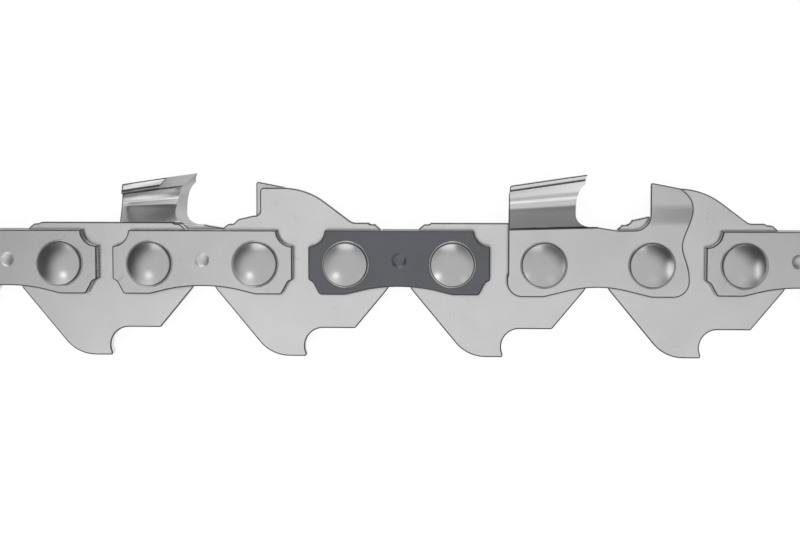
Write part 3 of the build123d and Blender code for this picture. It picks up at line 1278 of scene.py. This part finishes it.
    def build(self, materials: dict[str, bpy.types.Material]) -> None:
        """Replaces each cutter's solid with its finished piece.

        Args:
            materials: The finishes by slot.
        """
        left = self.shape()
        shift = ROW.pair_place(4) - ROW.pair_place(2)
        right = copy_of_piece(left, "right_cutter_plate", Vector((shift.x, 0, 0)))
        take(right)
        bpy.ops.object.mode_set(mode="EDIT")
        bpy.ops.mesh.select_all(action="SELECT")
        bpy.ops.transform.mirror(constraint_axis=(False, False, True), center_override=(0, 0, ROW.mid_z))
        bpy.ops.mesh.remove_doubles(threshold=MERGE_NEAR)
        bpy.ops.mesh.normals_make_consistent(inside=False)
        bpy.ops.object.mode_set(mode="OBJECT")
        # The second finish paints the broken edges dark, as shade; the third is the ground front's own steel
        dress(left, materials["cutter_chrome"], materials["edges"], materials["ground"])
        dress(right, materials["cutter_chrome"], materials["edges"], materials["ground"])
        self.finish(left, ROW.pair_place(2), -1)
        self.finish(right, ROW.pair_place(4), 1)
        enrol(left, "left_cutter", "pair_2")
        enrol(right, "right_cutter", "pair_4")

    def finish(self, piece: bpy.types.Object, pair: Vector, mirrored: int) -> None:
        """Breaks a cutter's edges, bends its gauge and shows ground steel on its front.

        Args:
            piece: The cutter, already dressed.
            pair: The middle of its pair.
            mirrored: -1 for the left-hand cutter, 1 for the right-hand one.
        """

        def kept(a: Vector, b: Vector) -> bool:
            """Tells whether an edge stays unbroken: one of the ground front, or of the inner bend's lines.

            Args:
                a: The edge's one end.
                b: Its other end.

            Returns:
                Whether it does.
            """
            if all(self.is_ground(pair, mirrored, point, self.ground_near) for point in (a, b)):
                return True
            middle = ((a + b) / 2 - pair) / MM
            low, high = self.inner_flare_end[0] - self.bend_below, self.inner_fold_end[0] + self.bend_above
            inside = low < middle.z * mirrored < high
            low, high = self.flare_end[1] - self.bend_below, self.inner_fold_end[1] + self.bend_above
            along = abs(a.x - b.x) > MM and abs(a.y - b.y) < MM
            return along and inside and low < middle.y < high

        weigh_edges(piece, self.corner, kept)
        break_edges(piece, self.bevel, lambda shaped: self.bend_gauge(shaped, pair, mirrored))
        for face in piece.data.polygons:
            corners = [piece.data.vertices[index].co for index in face.vertices]
            if face.material_index == 0 and all(
                self.is_ground(pair, mirrored, point, self.painted_near) for point in corners
            ):
                face.material_index = 2


@dataclass(frozen=True)
class Card:
    """A soft patch of light overhead, placed by its tilt from straight up.

    Args:
        tilt: Its middle, in degrees towards +X and towards +Y.
        half: Half its width and height, in degrees.
        soft: The share of that over which its edge fades, to both sides.
        level: Its brightness.
        round: Whether it is an ellipse, or else a rectangle.
    """

    tilt: Point
    half: Point
    soft: float
    level: float
    round: bool = True


@dataclass(frozen=True)
class Wall:
    """A wall of the studio, seen where a direction leans towards it.

    Args:
        away: 1 for the wall towards +Y, -1 for the one towards -Y.
        start: The direction's share of Y where the wall begins to show.
        full: The share from which it shows at its full brightness.
        level: That brightness.
    """

    away: float
    start: float
    full: float
    level: float


@dataclass
class Studio:
    """The pale floor, the lamp, the surroundings and the camera.

    Args:
        image_width: The image's width, in pixels.
        focal_pixels: The camera's focal length, in pixels of the image.
        sensor: Its sensor's width, in millimetres.
        yaw: Its turn about its upright axis, in degrees, as are pitch and roll.
        eye: Its place, in metres.
        clip: The camera's nearest and farthest sight, in metres.
        floor_size: The floor's side, in metres.
        floor_glow: How far the floor shows white to the camera and to the metal.
        floor_colour: The floor's own colour, which takes the shadow.
        lamp_level: The lamp's brightness on a level face.
        lamp_angle: Its spread, in degrees.
        dark_level: Brightness of the studio where nothing hangs.
        lowest_rise: The least height of a direction whose slopes are worked out.
        cards: The soft patches of light overhead.
        walls: The walls along the chain.
        wall_reach: The direction's share of X between which they fade in from the left.
        wall_dim: Their share of brightness on the far left.
        side_reach: The share of X between which the ends of the studio fade in.
        side_level: The brightness of those ends.
    """

    image_width: int = 800
    focal_pixels: float = 1700.6
    sensor: float = 36.0
    yaw: float = -2.647
    pitch: float = 4.033
    roll: float = -0.047
    eye: tuple[float, float, float] = (7.473 * MM, 11.069 * MM + ROW.row_y, 161.196 * MM + ROW.mid_z)
    clip: Point = (5 * MM, 20.0)
    floor_size: float = 1.6
    floor_glow: float = 0.90
    floor_colour: tuple[float, float, float, float] = (0.95, 0.95, 0.95, 1.0)
    lamp_level: float = 0.85
    lamp_angle: float = 60.0
    dark_level: float = 0.10
    lowest_rise: float = 0.02
    cards: tuple[Card, ...] = (
        Card((-2.0, -9.0), (17.0, 16.0), 0.28, 0.95),
        Card((-10.8, -11.5), (1.9, 1.9), 0.3, 2.4),
        Card((6.5, -13.0), (1.7, 1.7), 0.6, 0.35),
        Card((17.2, -7.0), (1.7, 6.0), 0.3, 2.4),
        Card((-4.0, 14.0), (5.0, 7.5), 0.15, 1.5, round=False),
        Card((-2.0, 26.0), (14.0, 12.0), 0.5, 0.7, round=False),
        Card((-14.0, 18.0), (6.0, 5.0), 0.25, 1.9, round=False),
        Card((-20.0, -45.0), (11.0, 25.0), 0.15, 1.6, round=False),
    )
    walls: tuple[Wall, ...] = (
        Wall(1.0, 0.55, 0.74, 1.6),
        Wall(-1.0, 0.45, 0.65, 0.12),
        Wall(-1.0, 0.85, 0.95, 0.12),
    )
    wall_reach: Point = (-0.19, -0.135)
    wall_dim: float = 0.12
    side_reach: Point = (0.42, 0.60)
    side_level: float = 0.45

    def add_camera(self) -> bpy.types.Object:
        """Places the camera at the photograph's viewpoint.

        Returns:
            The camera.
        """
        data = bpy.data.cameras.new("camera")
        data.sensor_width = self.sensor
        data.lens = self.focal_pixels / self.image_width * self.sensor
        data.clip_start, data.clip_end = self.clip
        camera = bpy.data.objects.new("camera", data)
        bpy.context.scene.collection.objects.link(camera)
        turn = (
            Matrix.Rotation(math.radians(self.roll), 3, "Z")
            @ Matrix.Rotation(math.radians(self.pitch), 3, "X")
            @ Matrix.Rotation(math.radians(self.yaw), 3, "Y")
        )
        camera.matrix_world = Matrix.Translation(Vector(self.eye)) @ turn.transposed().to_4x4()
        bpy.context.scene.camera = camera
        return camera

    def add_floor(self) -> None:
        """Lays the white floor, which shows white to the camera and to the metal, and keeps the shadow."""
        deselect_all()
        bpy.ops.mesh.primitive_plane_add(size=self.floor_size, location=(0, 0, 0))
        floor = bpy.context.object
        floor.name = "floor"
        tree = ShaderTree("white_floor")
        rays = tree.add("LightPath").outputs
        seen = tree.math("MAXIMUM", rays["Is Camera Ray"], rays["Is Glossy Ray"])
        seen = tree.math("MAXIMUM", seen, rays["Is Transmission Ray"])
        share = tree.spread(seen, 0.0, 1.0, 0.0, self.floor_glow)
        paper = tree.add("BsdfDiffuse", Color=self.floor_colour)
        glow = tree.add("Emission", Color=(1.0, 1.0, 1.0, 1.0), Strength=1.0)
        mixed = tree.add("MixShader")
        tree.link(share, mixed.inputs[0])
        tree.link(paper.outputs[0], mixed.inputs[1])
        tree.link(glow.outputs[0], mixed.inputs[2])
        output = tree.add("OutputMaterial")
        tree.link(mixed.outputs[0], output.inputs["Surface"])
        floor.data.materials.append(tree.material)

    def add_floor_lamp(self) -> None:
        """Hangs a wide soft lamp straight overhead, which the metal's reflections leave out."""
        data = bpy.data.lights.new("overhead", "SUN")
        data.energy = self.lamp_level * math.pi
        data.angle = math.radians(self.lamp_angle)
        lamp = bpy.data.objects.new("overhead", data)
        lamp.visible_glossy = False
        bpy.context.scene.collection.objects.link(lamp)

    def add_surroundings(self) -> None:
        """Gives the world its soft boxes: light near straight up, and darker towards the horizon."""
        world = bpy.data.worlds.new("studio")
        bpy.context.scene.world = world
        world.use_nodes = True
        tree = ShaderTree.of_world(world)
        parts = tree.add("SeparateXYZ")
        tree.link(tree.add("TexCoord").outputs["Generated"], parts.inputs[0])
        high = tree.math("MAXIMUM", parts.outputs["Z"], self.lowest_rise)
        slopes = [tree.math("DIVIDE", parts.outputs[axis], high) for axis in ("X", "Y")]
        light: object = self.dark_level
        for card in self.cards:
            light = tree.math("ADD", light, self.card_light(tree, slopes, card))
        across = tree.spread(parts.outputs["X"], *self.wall_reach, self.wall_dim, 1.0)
        for wall in self.walls:
            toward = tree.math("MULTIPLY", parts.outputs["Y"], wall.away)
            shown = tree.spread(toward, wall.start, wall.full, 0.0, wall.level)
            light = tree.math("ADD", light, tree.math("MULTIPLY", shown, across))
        sideways = tree.math("ABSOLUTE", parts.outputs["X"], 0.0)
        light = tree.math("ADD", light, tree.spread(sideways, *self.side_reach, 0.0, self.side_level))
        light = tree.math("MAXIMUM", light, tree.add("LightPath").outputs["Is Camera Ray"])
        sky = tree.add("Background")
        tree.link(light, sky.inputs["Strength"])
        output = tree.add("OutputWorld")
        tree.link(sky.outputs[0], output.inputs["Surface"])

    def card_light(
        self, tree: ShaderTree, slopes: list[bpy.types.NodeSocket], card: Card
    ) -> bpy.types.NodeSocket:
        """Works out how much of a card a direction sees.

        Args:
            tree: The world's node tree.
            slopes: The direction's slopes towards +X and +Y.
            card: The card.

        Returns:
            The socket of its light.
        """
        low = [math.tan(math.radians(tilt - half)) for tilt, half in zip(card.tilt, card.half)]
        high = [math.tan(math.radians(tilt + half)) for tilt, half in zip(card.tilt, card.half)]
        off = []
        for slope, start, end in zip(slopes, low, high):
            from_middle = tree.math("SUBTRACT", slope, (start + end) / 2)
            off.append(tree.math("DIVIDE", from_middle, (end - start) / 2))
        if card.round:
            squares = [tree.math("MULTIPLY", value, value) for value in off]
            distance = tree.math("SQRT", tree.math("ADD", *squares), 0.0)
        else:
            distance = tree.math("MAXIMUM", *[tree.math("ABSOLUTE", value, 0.0) for value in off])
        return tree.spread(distance, 1 - card.soft, 1 + card.soft, card.level, 0.0, Fade.SOFT)

    def build(self) -> None:
        """Sets up the camera, the floor, the surroundings and the lamp."""
        bpy.context.scene.view_settings.view_transform = "Standard"
        self.add_camera()
        self.add_floor()
        self.add_surroundings()
        self.add_floor_lamp()
        log.info("studio ready")


def main() -> None:
    """Builds the whole scene in order."""
    logging.basicConfig(level=logging.INFO, format="%(message)s")
    finishes = (DRIVE_STEEL, STRAP_STEEL, DARK_STEEL, CUTTER_CHROME, RIVET_STEEL, GROUND_STEEL, DARK_EDGE_SHADE)
    materials = {finish.slot: finish.material() for finish in finishes}
    Studio().build()
    StampedPlates().build(materials)
    Rivets().build(materials)
    Cutters().build(materials)


if __name__ == "__main__":
    main()
